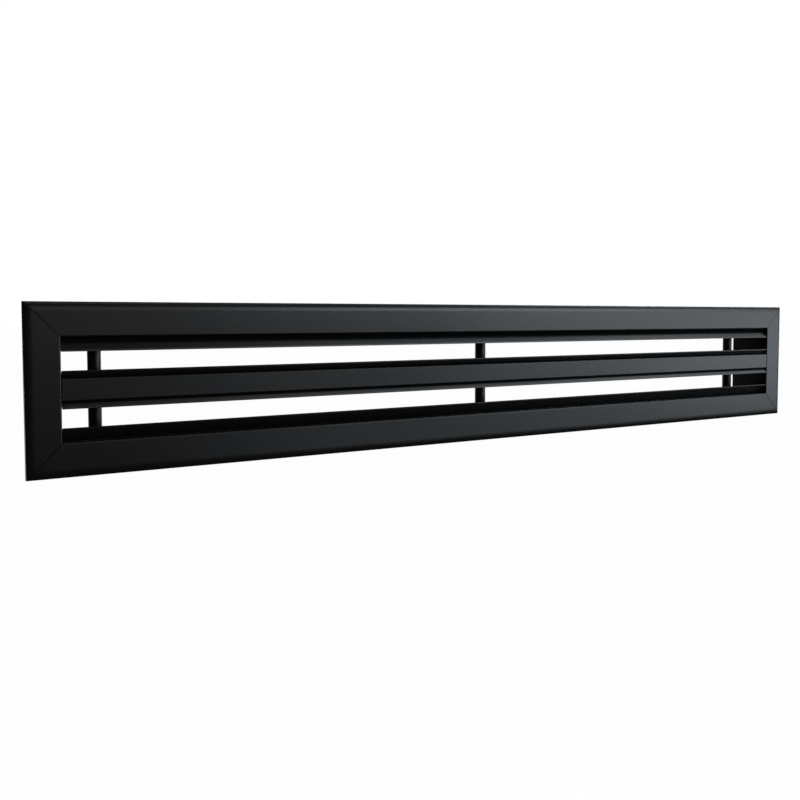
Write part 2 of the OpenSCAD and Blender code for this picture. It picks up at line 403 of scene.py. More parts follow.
@dataclass(frozen=True)
class Outline:
    """Straight and round sides on a sheet, after a first point."""

    sheet: Sheet
    steps: list[Step]

    def trace(self) -> None:
        """Draws the outline in the mesh that is being edited, point by point."""
        sheet = self.sheet
        first, *others = self.steps
        bpy.ops.mesh.primitive_plane_add(size=MM)
        bpy.ops.mesh.merge(type="CENTER")
        bpy.ops.transform.translate(value=sheet.at(*first))
        here = Vector(first)
        for step in others:
            if isinstance(step, Arc):
                # Spin turns clockwise about its axis, so the axis is the sheet's normal reversed.
                turn = math.radians(step.sweep)
                centre = sheet.at(step.u, step.v)
                bpy.ops.mesh.spin(steps=step.steps, angle=turn, center=centre, axis=-sheet.normal)
                arm = here - Vector((step.u, step.v))
                there = Vector((
                    step.u + arm.x * math.cos(turn) - arm.y * math.sin(turn),
                    step.v + arm.x * math.sin(turn) + arm.y * math.cos(turn),
                ))
            else:
                there = Vector(step)
                move = sheet.at(*there) - sheet.at(*here)
                bpy.ops.mesh.extrude_vertices_move(TRANSFORM_OT_translate={"value": move})
            here = there


class Piece:
    """A mesh that is modelled by hand, one operator after another."""

    MERGE = 0.0005 * MM
    FLAT_ANGLE = 0.1
    SMOOTH_ANGLE = 30.0
    EDGE_FACES = 2
    CLEAR = 0.01
    OVERRUN = 1.0
    # The thread starts a broken number of turns early, so that no row of its points lies in the end cut.
    THREAD_LEAD = 2.013
    THREAD_SPARE = 2
    THREAD_SIDES = 20
    FLANK_START, CREST_START, CREST_END = 0.15, 0.5, 0.65

    def __init__(self, item: bpy.types.Object, name: str) -> None:
        """Takes a Blender object in hand and names it and its mesh."""
        self.item = item
        item.name = item.data.name = name

    def only(self) -> None:
        """Makes this the active piece and the only selected one."""
        bpy.ops.object.select_all(action="DESELECT")
        self.item.select_set(True)
        bpy.context.view_layer.objects.active = self.item

    @contextmanager
    def editing(self) -> Iterator[None]:
        """Keeps the piece in edit mode, with everything selected at the start."""
        self.only()
        bpy.ops.object.mode_set(mode="EDIT")
        bpy.ops.mesh.select_mode(type="VERT")
        bpy.ops.mesh.select_all(action="SELECT")
        yield
        bpy.ops.object.mode_set(mode="OBJECT")

    @staticmethod
    def weld() -> None:
        """Merges points that coincide in the mesh that is being edited."""
        bpy.ops.mesh.select_all(action="SELECT")
        bpy.ops.mesh.remove_doubles(threshold=Piece.MERGE)

    @staticmethod
    def outward() -> None:
        """Turns all faces of the mesh that is being edited outward."""
        bpy.ops.mesh.select_all(action="SELECT")
        bpy.ops.mesh.normals_make_consistent(inside=False)

    @classmethod
    def blank(cls, name: str) -> "Piece":
        """Adds a piece whose mesh is still empty.

        Args:
            name: Name of the new piece.

        Returns:
            The new piece.
        """
        bpy.ops.object.select_all(action="DESELECT")
        bpy.ops.mesh.primitive_plane_add(size=MM)
        piece = cls(bpy.context.active_object, name)
        with piece.editing():
            bpy.ops.mesh.delete(type="VERT")
        return piece

    @classmethod
    def extrude(cls, name: str, run: Vector, *outlines: Outline) -> "Piece":
        """Makes a prism of closed outlines.

        Args:
            name: Name of the new piece.
            run: Way of the extrusion, in metres.
            outlines: Outlines on one plane. Those inside another one are its holes.

        Returns:
            The new piece.
        """
        piece = cls.blank(name)
        with piece.editing():
            for outline in outlines:
                outline.trace()
            cls.weld()
            bpy.ops.mesh.fill(use_beauty=False)
            bpy.ops.mesh.select_mode(type="FACE")
            bpy.ops.mesh.select_all(action="SELECT")
            bpy.ops.mesh.dissolve_limited(angle_limit=math.radians(cls.FLAT_ANGLE))
            bpy.ops.mesh.select_all(action="SELECT")
            bpy.ops.mesh.extrude_region_move(TRANSFORM_OT_translate={"value": run})
            cls.outward()
        return piece

    @classmethod
    def lathe(cls, name: str, sheet: Sheet, steps: list[Step], turns: int = 48) -> "Piece":
        """Turns a profile about the sheet's v axis.

        Args:
            name: Name of the new piece.
            sheet: Plane of the profile, with u as radius.
            steps: Sides of the profile, after its first point.
            turns: Steps of the full turn.

        Returns:
            The new piece.
        """
        piece = cls.blank(name)
        with piece.editing():
            Outline(sheet, steps).trace()
            bpy.ops.mesh.select_all(action="SELECT")
            bpy.ops.mesh.spin(steps=turns, angle=math.tau, center=sheet.origin, axis=sheet.v_axis)
            cls.weld()
            cls.outward()
        return piece

    @classmethod
    def stud(cls, name: str, sheet: Sheet, thread: Thread, steps: list[Span]) -> "Piece":
        """Winds a thread about the sheet's v axis and turns it down to a profile.

        Args:
            name: Name of the new piece.
            sheet: Plane of the profile, with u as radius and v along one of the part's axes.
            thread: Thread to wind.
            steps: Points of the profile.

        Returns:
            The new piece.
        """
        pitch, crest = thread.pitch, thread.across / 2
        root = crest - thread.depth
        heights = [v for _, v in steps]
        span = (min(heights) - pitch, max(heights) + pitch)
        low = span[0] - cls.THREAD_LEAD * pitch
        piece = cls.blank(name)
        with piece.editing():
            Outline(sheet, [
                (root, low), (root, low + cls.FLANK_START * pitch), (crest, low + cls.CREST_START * pitch),
                (crest, low + cls.CREST_END * pitch), (root, low + pitch),
            ]).trace()
        piece.set_origin(sheet.origin)
        piece.modify(
            "SCREW", axis="XYZ"[max(range(3), key=lambda place: abs(sheet.v_axis[place]))],
            screw_offset=pitch * MM, iterations=math.ceil((span[1] - low) / pitch) + cls.THREAD_SPARE,
            steps=cls.THREAD_SIDES, render_steps=cls.THREAD_SIDES,
            use_merge_vertices=True, merge_threshold=cls.MERGE,
        )
        piece.set_origin(Vector())
        with piece.editing():
            cls.weld()
        for end, way in zip(span, (-1.0, 1.0)):
            piece.trim(sheet.at(0.0, end), sheet.v_axis * way)
        with piece.editing():
            bpy.ops.mesh.quads_convert_to_tris()
        piece.combine(cls.lathe(name + "_blank", sheet, steps), Cut.TRIM)
        return piece

    @classmethod
    def hexagon(cls, name: str, across: float, ends: tuple[Vector, Vector]) -> "Piece":
        """Adds a six-sided blank between two points.

        Args:
            name: Name of the new piece.
            across: Width across its flats.
            ends: Middles of its two end faces, in millimetres.

        Returns:
            The blank.
        """
        span = ends[1] - ends[0]
        bpy.ops.object.select_all(action="DESELECT")
        bpy.ops.mesh.primitive_cylinder_add(
            vertices=6, radius=across / math.sqrt(3) * MM, depth=span.length * MM,
            location=(ends[0] + ends[1]) / 2 * MM, rotation=span.to_track_quat("Z", "X").to_euler(),
        )
        piece = cls(bpy.context.active_object, name)
        piece.settle()
        return piece

    @classmethod
    def array(cls, name: str, blanks: list["Piece"], moves: list[Vector]) -> "Piece":
        """Copies blanks to several places and joins the copies into one piece.

        Args:
            name: Name of the joined piece.
            blanks: Pieces to copy, which are used up.
            moves: Ways from the blanks to the places, in metres.

        Returns:
            The joined piece.
        """
        made = []
        for move in moves:
            for blank in blanks:
                made.append(blank.copy(name + "_copy"))
                made[-1].shift(move)
                made[-1].smooth()
        for blank in blanks:
            blank.remove()
        made[0].only()
        for piece in made:
            piece.item.select_set(True)
        bpy.ops.object.join()
        return cls(bpy.context.active_object, name)

    def set_origin(self, place: Vector) -> None:
        """Moves the object's origin to a point, while its mesh stays where it is.

        Args:
            place: The point, in metres.
        """
        self.only()
        bpy.context.scene.cursor.location = place
        bpy.ops.object.origin_set(type="ORIGIN_CURSOR")

    def modify(self, kind: str, **settings: Any) -> None:
        """Adds a modifier and applies it.

        Args:
            kind: Type of the modifier.
            settings: Its properties.
        """
        self.only()
        bpy.ops.object.modifier_add(type=kind)
        modifier = self.item.modifiers[-1]
        for key, setting in settings.items():
            setattr(modifier, key, setting)
        bpy.ops.object.modifier_apply(modifier=modifier.name)

    def trim(self, point: Vector, way: Vector) -> None:
        """Cuts off what lies beyond a plane and closes the cut.

        Args:
            point: Point of the plane, in metres.
            way: Direction of what is cut off.
        """
        with self.editing():
            bpy.ops.mesh.bisect(
                plane_co=point, plane_no=way, use_fill=True, clear_outer=True, threshold=self.MERGE,
            )
            self.outward()

    def combine(self, tool: "Piece", cut: Cut) -> None:
        """Works on the piece with a tool body, which is used up."""
        self.modify("BOOLEAN", operation=cut.value, solver="EXACT", object=tool.item)
        tool.remove()

    def drill(self, sheet: Sheet, across: float, ends: Span, turns: int = 40) -> None:
        """Drills a round hole along a sheet's v axis.

        Args:
            sheet: Plane through the hole's axis.
            across: Diameter of the hole.
            ends: First and last v of the drill.
            turns: Sides of the hole.
        """
        low, high = ends
        tool = Piece.lathe("drill", sheet, [
            (0.0, low), (across / 2, low), (across / 2, high), (0.0, high),
        ], turns)
        self.combine(tool, Cut.DRILL)

    def round_edges(self, width: float, angle: float = 40.0) -> None:
        """Breaks the sharp edges and shades the piece smooth.

        Args:
            width: Width of the broken edge.
            angle: Smallest angle of an edge that is broken.
        """
        self.modify(
            "BEVEL", width=width * MM, segments=self.EDGE_FACES, limit_method="ANGLE",
            angle_limit=math.radians(angle), use_clamp_overlap=True,
        )
        self.smooth()

    def smooth(self) -> None:
        """Shades the piece smooth while its flat faces stay flat."""
        self.only()
        bpy.ops.object.shade_smooth_by_angle(angle=math.radians(self.SMOOTH_ANGLE))
        self.modify("WEIGHTED_NORMAL", weight=100, keep_sharp=True)

    def copy(self, name: str) -> "Piece":
        """Copies the piece with a mesh of its own.

        Args:
            name: Name of the copy.

        Returns:
            The copy.
        """
        self.only()
        bpy.ops.object.duplicate(linked=False)
        return Piece(bpy.context.active_object, name)

    def mirrored(self, name: str, *ways: Axis) -> "Piece":
        """Copies the piece and mirrors the copy about the part's middle.

        Args:
            name: Name of the copy.
            ways: Axes that change sign.

        Returns:
            The copy.
        """
        made = self.copy(name)
        for along in ways:
            made.flip(along)
        return made

    def flip(self, along: Axis) -> None:
        """Mirrors the mesh about the part's middle.

        Args:
            along: Axis that changes sign.
        """
        scale = tuple(-1.0 if part else 1.0 for part in along.value)
        with self.editing():
            bpy.ops.transform.resize(value=scale, center_override=(0.0, 0.0, 0.0))
            self.outward()

    def shift(self, move: Vector) -> None:
        """Moves the mesh, in metres."""
        with self.editing():
            bpy.ops.transform.translate(value=move)

    def turn(self, degrees: float, about: Axis, centre: Vector) -> None:
        """Turns the mesh about an axis through a point, given in metres."""
        angle = math.radians(degrees)
        with self.editing():
            bpy.ops.transform.rotate(value=angle, orient_axis=about.name, center_override=centre)

    def settle(self) -> None:
        """Puts the object's place into its mesh."""
        self.only()
        bpy.ops.object.transform_apply(location=True, rotation=True, scale=True)

    def remove(self) -> None:
        """Takes the piece out of the scene."""
        bpy.data.objects.remove(self.item, do_unlink=True)

    def dress(self, material: Material, slot: Slot, node: str, body: Body = Body.FRAME) -> None:
        """Gives the finished piece its material and its place in the frame.

        Args:
            material: Its finish.
            slot: Material slot of the record; not used.
            node: CAD node that it stands for.
            body: Body that it rides on.
        """
        self.settle()
        piece = self.item
        piece.data.materials.clear()
        piece.data.materials.append(material)
        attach(piece, body.value)
        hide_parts(node)
        log.info("%s: %d faces, on %s", piece.name, len(piece.data.polygons), body.value)


@dataclass
class Hinge:
    """Bead of a blade and the groove that carries it."""

    setback: float = 0.6
    front: float = -4.5
    blade_w: float = 13.2
    blade_t: float = 1.2
    angle: float = 55.0
    travel: float = 70.0
    mouth_free: float = 4.0
    bead_r: float = 1.4
    gap: float = 0.05
    wall: float = 1.0
    tip_cut: float = 0.3
    tip_lean: float = 5.0
    jaw_sides: int = 8
    groove_sides: int = 26

    @property
    def tip_d(self) -> float:
        """Distance from the centre of a blade's tip to the flat on it."""
        return self.blade_t / 2 - self.tip_cut

    @property
    def groove_r(self) -> float:
        """Radius of the groove."""
        return self.bead_r + self.gap

    @property
    def boss_r(self) -> float:
        """Radius of the boss round the groove."""
        return self.groove_r + self.wall

    @property
    def depth(self) -> float:
        """Depth of the axis behind the wall's plane."""
        return self.front + self.setback + self.tip_d + self.blade_w * math.cos(math.radians(self.angle))

    @property
    def jaw(self) -> float:
        """Works out where the lips of the groove's mouth lie.

        Returns:
            Angle from straight outward to a lip.
        """
        middle = self.angle + self.travel / 2
        half = self.travel / 2 + math.degrees(math.asin(self.blade_t / 2 / self.groove_r)) + self.mouth_free
        return 270.0 - middle - half

    def boss_steps(self, centre: float, first: float, last: float) -> list[Step]:
        """Draws the jaws and the groove of a mouth that opens towards -u.

        Args:
            centre: Place of the axis along u.
            first: Place along u where the boss starts, behind its axis.
            last: Place along u where the boss ends, in front of its axis.

        Returns:
            Sides from the wall behind the boss to the wall in front of it.
        """
        leave = math.acos((first - centre) / self.boss_r)
        meet = math.acos((last - centre) / self.boss_r)
        lip = math.radians(self.jaw)
        inner = Vector((math.cos(lip), math.sin(lip))) * self.groove_r
        outer = Vector((math.cos(lip), math.sin(lip))) * self.boss_r
        return [
            (first, self.depth + self.boss_r * math.sin(leave)),
            Arc(centre, self.depth, self.jaw - math.degrees(leave), self.jaw_sides),
            (centre + inner.x, self.depth + inner.y),
            Arc(centre, self.depth, -2 * self.jaw, self.groove_sides),
            (centre + outer.x, self.depth - outer.y),
            Arc(centre, self.depth, self.jaw - math.degrees(meet), self.jaw_sides),
        ]


@dataclass(frozen=True)
class Stations:
    """Places of the tie rods and bar screws, which several sub-assemblies share."""

    bar_hinge: Hinge
    rod_xs: tuple[float, ...] = (-368.0, 0.0, 368.0)
    rod_y: float = 26.0
    rod_hole_d: float = 5.5
    port_step: float = 4.0
    rear_port_y: float = 36.0

    @property
    def port_ys(self) -> Span:
        """Depths of the bar's two screw ports, the front one a step behind its hinges."""
        return self.bar_hinge.depth + self.port_step, self.rear_port_y


@dataclass
class RailFrame:
    """Mitred flange frame: two long rails with hinge grooves and two end rails."""

    hinge: Hinge
    stations: Stations
    black_x: Material
    black_z: Material
    length: float = 850.0
    height: float = 125.0
    flange_w: float = 25.0
    flange_t: float = 1.6
    roll_w: float = 6.5
    roll_d: float = 1.8
    roll_sides: int = 24
    edge_r: float = 1.2
    edge_sides: int = 8
    return_t: float = 1.5
    neck_d: float = 42.0
    neck_t: float = 1.6
    mitre_gap: float = 0.04
    mitre_line: float = 0.26
    rib_t: float = 1.2
    lip_w: float = 1.5
    lip_gap: float = 0.2
    channel: Span = (4.95, 14.05)
    lip_depth: float = 1.7
    rail_outset: float = 1.0
    bulge_sides: int = 14
    fix_xs: Span = (-300.0, 300.0)
    fix_y: float = 34.0
    fix_d: float = 4.5
    port_hole_d: float = 4.4
    drill_reach: float = 4.8
    broken_edge: float = 0.12
    crisp_angle: float = 50.0

    @property
    def open_l(self) -> float:
        """Length of the opening."""
        return self.length - 2 * self.flange_w

    @property
    def open_h(self) -> float:
        """Height of the opening."""
        return self.height - 2 * self.flange_w

    @property
    def back(self) -> float:
        """Depth of the flange's back."""
        return self.hinge.front + self.flange_t

    def flange_steps(self) -> list[Step]:
        """Draws the flange from the neck's inner face, round its front to the neck's outer face.

        Returns:
            Sides of the outline after the inner face.
        """
        front, back = self.hinge.front, self.back
        inner, outer = self.channel
        lip_v = back + self.lip_depth
        top_v = -self.lip_gap
        return [
            (0.0, front + self.edge_r),
            Arc(self.edge_r, front + self.edge_r, 90.0, self.edge_sides),
            *self.roll_steps(),
            (self.flange_w, 0.0),
            (self.flange_w - self.return_t, 0.0),
            (self.flange_w - self.return_t, back + self.roll_d / 2),
            (self.flange_w - self.roll_w, back),
            (outer + self.rib_t, back),
            (outer + self.rib_t, top_v),
            (outer - self.lip_w, top_v),
            (outer - self.lip_w, lip_v),
            (outer, lip_v),
            (outer, back),
            (inner, back),
            (inner, lip_v),
            (inner + self.lip_w, lip_v),
            (inner + self.lip_w, top_v),
            (inner - self.rib_t, top_v),
            (inner - self.rib_t, back),
            (self.neck_t, back),
        ]

    def roll_steps(self) -> list[Step]:
        """Draws the rolled outer edge, a quarter of an oval from the face to the flange's side.

        Returns:
            Sides of the rolled edge, the first one across the flat face.
        """
        turns = [math.pi / 2 * side / self.roll_sides for side in range(self.roll_sides + 1)]
        return [
            (
                self.flange_w - self.roll_w + self.roll_w * math.sin(turn),
                self.roll_d + self.hinge.front - self.roll_d * math.cos(turn),
            )
            for turn in turns
        ]

    def bulge_steps(self) -> list[Step]:
        """Draws the back of the hinge boss, which stands out of the neck's outer face.

        Returns:
            Sides from the neck's outer face in front of the boss round to the one behind it.
        """
        half = math.acos((self.neck_t - self.rail_outset) / self.hinge.boss_r)
        return [
            (self.neck_t, self.hinge.depth - self.hinge.boss_r * math.sin(half)),
            Arc(self.rail_outset, self.hinge.depth, 2 * math.degrees(half), self.bulge_sides),
        ]

    def neck_steps(self) -> list[Step]:
        """Sides round the neck's rear end, back to its inner face."""
        return [(self.neck_t, self.neck_d), (0.0, self.neck_d)]

    def long_rail(self) -> Piece:
        """Models the top rail.

        Returns:
            The rail, mitred and drilled.
        """
        sheet = Sheet(mm(-self.length / 2, 0.0, self.open_h / 2), UP, INWARD)
        rail = Piece.extrude("top_rail_coated", RIGHT * self.length * MM, Outline(sheet, [
            (0.0, self.neck_d), *self.hinge.boss_steps(self.rail_outset, 0.0, 0.0),
            *self.flange_steps(), *self.bulge_steps(), *self.neck_steps(),
        ]))
        corner = self.length / 2 - self.height / 2 - self.mitre_gap / math.sqrt(2)
        for side in (-1.0, 1.0):
            rail.trim(mm(side * corner, 0.0, 0.0), Vector((side, 0.0, -1.0)).normalized())
        holes = [(x, self.stations.rod_y, self.stations.rod_hole_d) for x in self.stations.rod_xs]
        holes += [(x, self.fix_y, self.fix_d) for x in self.fix_xs]
        for x, y, across in holes:
            hole = Sheet(mm(x, y, self.open_h / 2 + self.neck_t / 2), INWARD, UP)
            rail.drill(hole, across, (-self.drill_reach, self.drill_reach))
        self.ease_mitres(rail)
        return rail

    def end_rail(self) -> Piece:
        """Models the right rail.

        Returns:
            The rail, mitred and drilled.
        """
        sheet = Sheet(mm(self.open_l / 2, 0.0, -self.height / 2), RIGHT, INWARD)
        rail = Piece.extrude("right_rail_coated", UP * self.height * MM, Outline(sheet, [
            (0.0, self.neck_d), *self.flange_steps(), *self.neck_steps(),
        ]))
        corner = self.length / 2 - self.height / 2 + self.mitre_gap / math.sqrt(2)
        for side in (-1.0, 1.0):
            rail.trim(mm(corner, 0.0, 0.0), Vector((-1.0, 0.0, side)).normalized())
        for y in self.stations.port_ys:
            hole = Sheet(mm(self.open_l / 2 + self.neck_t / 2, y, 0.0), INWARD, RIGHT)
            rail.drill(hole, self.port_hole_d, (-self.drill_reach, self.drill_reach))
        self.ease_mitres(rail)
        return rail

    def ease_mitres(self, rail: Piece) -> None:
        """Chamfers the front edges of a rail's mitres, so that the joints show as fine lines.

        Args:
            rail: Rail with its mitres cut.
        """
        slant, facing = 0.49, 0.05
        roll_end = (self.roll_d + self.hinge.front) * MM + Piece.MERGE
        with rail.editing():
            bpy.ops.mesh.select_mode(type="EDGE")
            bpy.ops.mesh.select_all(action="DESELECT")
            mesh = bmesh.from_edit_mesh(rail.item.data)
            for edge in mesh.edges:
                mitres = [abs(face.normal.x * face.normal.z) > slant for face in edge.link_faces]
                fronts = [face.normal.y < -facing for face in edge.link_faces]
                outside = all(point.co.y < roll_end for point in edge.verts)
                edge.select_set(outside and sum(mitres) == 1 and sum(fronts) == 1)
            bmesh.update_edit_mesh(rail.item.data)
            bpy.ops.mesh.bevel(
                offset=self.mitre_line * MM, offset_type="OFFSET", segments=1, affect="EDGES",
            )

    def build(self) -> None:
        """Models the four rails and dresses them."""
        top = self.long_rail()
        bottom = top.mirrored("bottom_rail_coated", Axis.Z)
        right = self.end_rail()
        left = right.mirrored("left_rail_coated", Axis.X)
        for rail, material, node in (
            (top, self.black_x, "top_rail"), (bottom, self.black_x, "bottom_rail"),
            (left, self.black_z, "left_rail"), (right, self.black_z, "right_rail"),
        ):
            rail.round_edges(self.broken_edge, self.crisp_angle)
            rail.dress(material, Slot.FRAME, node)


@dataclass
class CentreBar:
    """Hollow bar between the slots, with two hinge grooves on a core, a web and two screw ports."""

    rails: RailFrame
    hinge: Hinge
    black: Material
    end_gap: float = 0.3
    width: float = 16.0
    face_t: float = 1.8
    edge_r: float = 0.8
    edge_sides: int = 6
    wall: float = 1.5
    hollow: float = 1.3
    hollow_sides: int = 10
    web_t: float = 2.0
    axis_u: float = 2.3
    port_r: float = 2.0
    port_wall: float = 1.0
    port_sides: int = 32
    front_boss_sides: int = 14
    rear_boss_sides: int = 20
    broken_edge: float = 0.12

    @property
    def back(self) -> float:
        """Depth of the back of the bar's face."""
        return self.hinge.front + self.face_t

    @property
    def ports(self) -> Span:
        """Depths of the two screw ports."""
        return self.rails.stations.port_ys

    def half_outline(self) -> list[Step]:
        """Draws the +u half of the section, from the middle of its face to the middle of its rear port.

        Returns:
            Sides of the half outline, after its first point.
        """
        front = self.hinge.front
        half = self.width / 2
        wall_u = self.hollow + self.wall
        boss_r = self.port_r + self.port_wall
        web_u = self.web_t / 2
        web_turn = math.degrees(math.asin(web_u / boss_r))
        front_port, rear_port = self.ports
        meet = self.crossing(boss_r)
        start = math.degrees(math.atan2(meet.y - front_port, meet.x))
        jaws = self.hinge.boss_steps(-self.axis_u, -wall_u, -meet.x)
        return [
            (0.0, front),
            (half - self.edge_r, front),
            Arc(half - self.edge_r, front + self.edge_r, 90.0, self.edge_sides),
            (half, self.back),
            (wall_u, self.back),
            *self.turned(jaws),
            Arc(0.0, front_port, 90.0 - web_turn - start, self.front_boss_sides),
            (web_u, rear_port - boss_r * math.cos(math.radians(web_turn))),
            Arc(0.0, rear_port, 180.0 - web_turn, self.rear_boss_sides),
        ]

    def crossing(self, boss_r: float) -> Vector:
        """Finds where the boss of the +u groove runs into the boss of the front screw port.

        Args:
            boss_r: Outer radius of the port's boss.

        Returns:
            The outer crossing of the two circles, in the section's plane.
        """
        centre = Vector((self.axis_u, self.hinge.depth))
        way = Vector((0.0, self.ports[0])) - centre
        apart = way.length
        way.normalize()
        along = (apart ** 2 + self.hinge.boss_r ** 2 - boss_r ** 2) / (2 * apart)
        across = math.sqrt(self.hinge.boss_r ** 2 - along ** 2)
        return centre + way * along + Vector((way.y, -way.x)) * across

    def turned(self, steps: list[Step]) -> list[Step]:
        """Draws the jaws of the other side, from front to back.

        Args:
            steps: Sides of a mouth towards -u, from back to front.

        Returns:
            The same sides for a mouth towards +u.
        """
        depth = self.hinge.depth
        return [
            Arc(-step.u, step.v, step.sweep, step.steps) if isinstance(step, Arc)
            else (-step[0], 2 * depth - step[1])
            for step in steps
        ]

    def hollow_steps(self) -> list[Step]:
        """Draws the hollow behind the face.

        Returns:
            Sides of the hollow, after its first point.
        """
        boss_r = self.hinge.boss_r
        depth = self.hinge.depth
        core = self.hinge.groove_r
        high = math.acos((self.axis_u - self.hollow) / boss_r)
        low = math.asin(core / boss_r)
        turn = math.degrees(high - low)
        return [
            (-self.hollow, self.back),
            (self.hollow, self.back),
            (self.hollow, depth - boss_r * math.sin(high)),
            Arc(self.axis_u, depth, -turn, self.hollow_sides),
            (boss_r * math.cos(low) - self.axis_u, depth - core),
            Arc(-self.axis_u, depth, -turn, self.hollow_sides),
            (-self.hollow, self.back),
        ]

    def build(self) -> None:
        """Models the bar and dresses it."""
        length = self.rails.open_l - 2 * self.end_gap
        stations = self.rails.stations
        sheet = Sheet(mm(-length / 2, 0.0, 0.0), UP, INWARD)
        other = Sheet(sheet.origin, -UP, INWARD)
        ports = [
            Outline(sheet, [(self.port_r, y), Arc(0.0, y, 360.0, self.port_sides)]) for y in self.ports
        ]
        piece = Piece.extrude(
            "centre_bar_coated", RIGHT * length * MM, Outline(sheet, self.half_outline()),
            Outline(other, self.half_outline()), Outline(sheet, self.hollow_steps()), *ports,
        )
        for x in stations.rod_xs:
            hole = Sheet(mm(x, stations.rod_y, 0.0), INWARD, UP)
            piece.drill(hole, stations.rod_hole_d, (-self.web_t, self.web_t))
        piece.round_edges(self.broken_edge)
        piece.dress(self.black, Slot.FRAME, "centre_bar")


@dataclass
class BladeSet:
    """Four blades that turn on their beads."""

    rails: RailFrame
    bar: CentreBar
    black: Material
    end_gap: float = 0.2
    tip_sides: int = 8
    bead_sides: int = 36
    broken_edge: float = 0.12
    crisp_angle: float = 25.0

    def blade(self, name: str, hinge: Hinge, axis_z: float) -> Piece:
        """Models a blade whose slot lies below its axis.

        Args:
            name: Name of the new piece.
            hinge: Hinge that it turns on.
            axis_z: Height of its axis.

        Returns:
            The blade.
        """
        along = math.radians(hinge.angle)
        across = Vector((0.0, math.sin(along), -math.cos(along)))
        down = Vector((0.0, -math.cos(along), -math.sin(along)))
        half = hinge.blade_t / 2
        neck = math.sqrt(hinge.bead_r ** 2 - half ** 2)
        bead_turn = 360.0 - 2 * math.degrees(math.asin(half / hinge.bead_r))
        facing = 90.0 + hinge.angle + hinge.tip_lean
        normal = Vector((math.cos(math.radians(facing)), math.sin(math.radians(facing))))
        flat_v = hinge.blade_w + (hinge.tip_d + normal.x * half) / normal.y
        tip_turn = facing - math.degrees(math.acos(hinge.tip_d / half))
        length = self.rails.open_l - 2 * self.end_gap
        sheet = Sheet(mm(-length / 2, hinge.depth, axis_z), across, down)
        return Piece.extrude(name, RIGHT * length * MM, Outline(sheet, [
            (half, neck), (half, hinge.blade_w), Arc(0.0, hinge.blade_w, tip_turn, self.tip_sides),
            (-half, flat_v), (-half, neck), Arc(0.0, 0.0, bead_turn, self.bead_sides),
        ]))

    def build(self) -> None:
        """Models the upper blade of each slot, mirrors them to the lower ones and dresses all four."""
        rail_z = self.rails.open_h / 2 + self.rails.rail_outset
        upper_top = self.blade("upper_slot_top_blade_coated", self.rails.hinge, rail_z)
        lower_top = self.blade("lower_slot_top_blade_coated", self.bar.hinge, -self.bar.axis_u)
        upper_bottom = lower_top.mirrored("upper_slot_bottom_blade_coated", Axis.Z)
        lower_bottom = upper_top.mirrored("lower_slot_bottom_blade_coated", Axis.Z)
        for blade, body in (
            (upper_top, Body.UPPER_TOP), (upper_bottom, Body.UPPER_BOTTOM),
            (lower_top, Body.LOWER_TOP), (lower_bottom, Body.LOWER_BOTTOM),
        ):
            blade.round_edges(self.broken_edge, self.crisp_angle)
            blade.dress(self.black, Slot.BLADE, body.value, body)


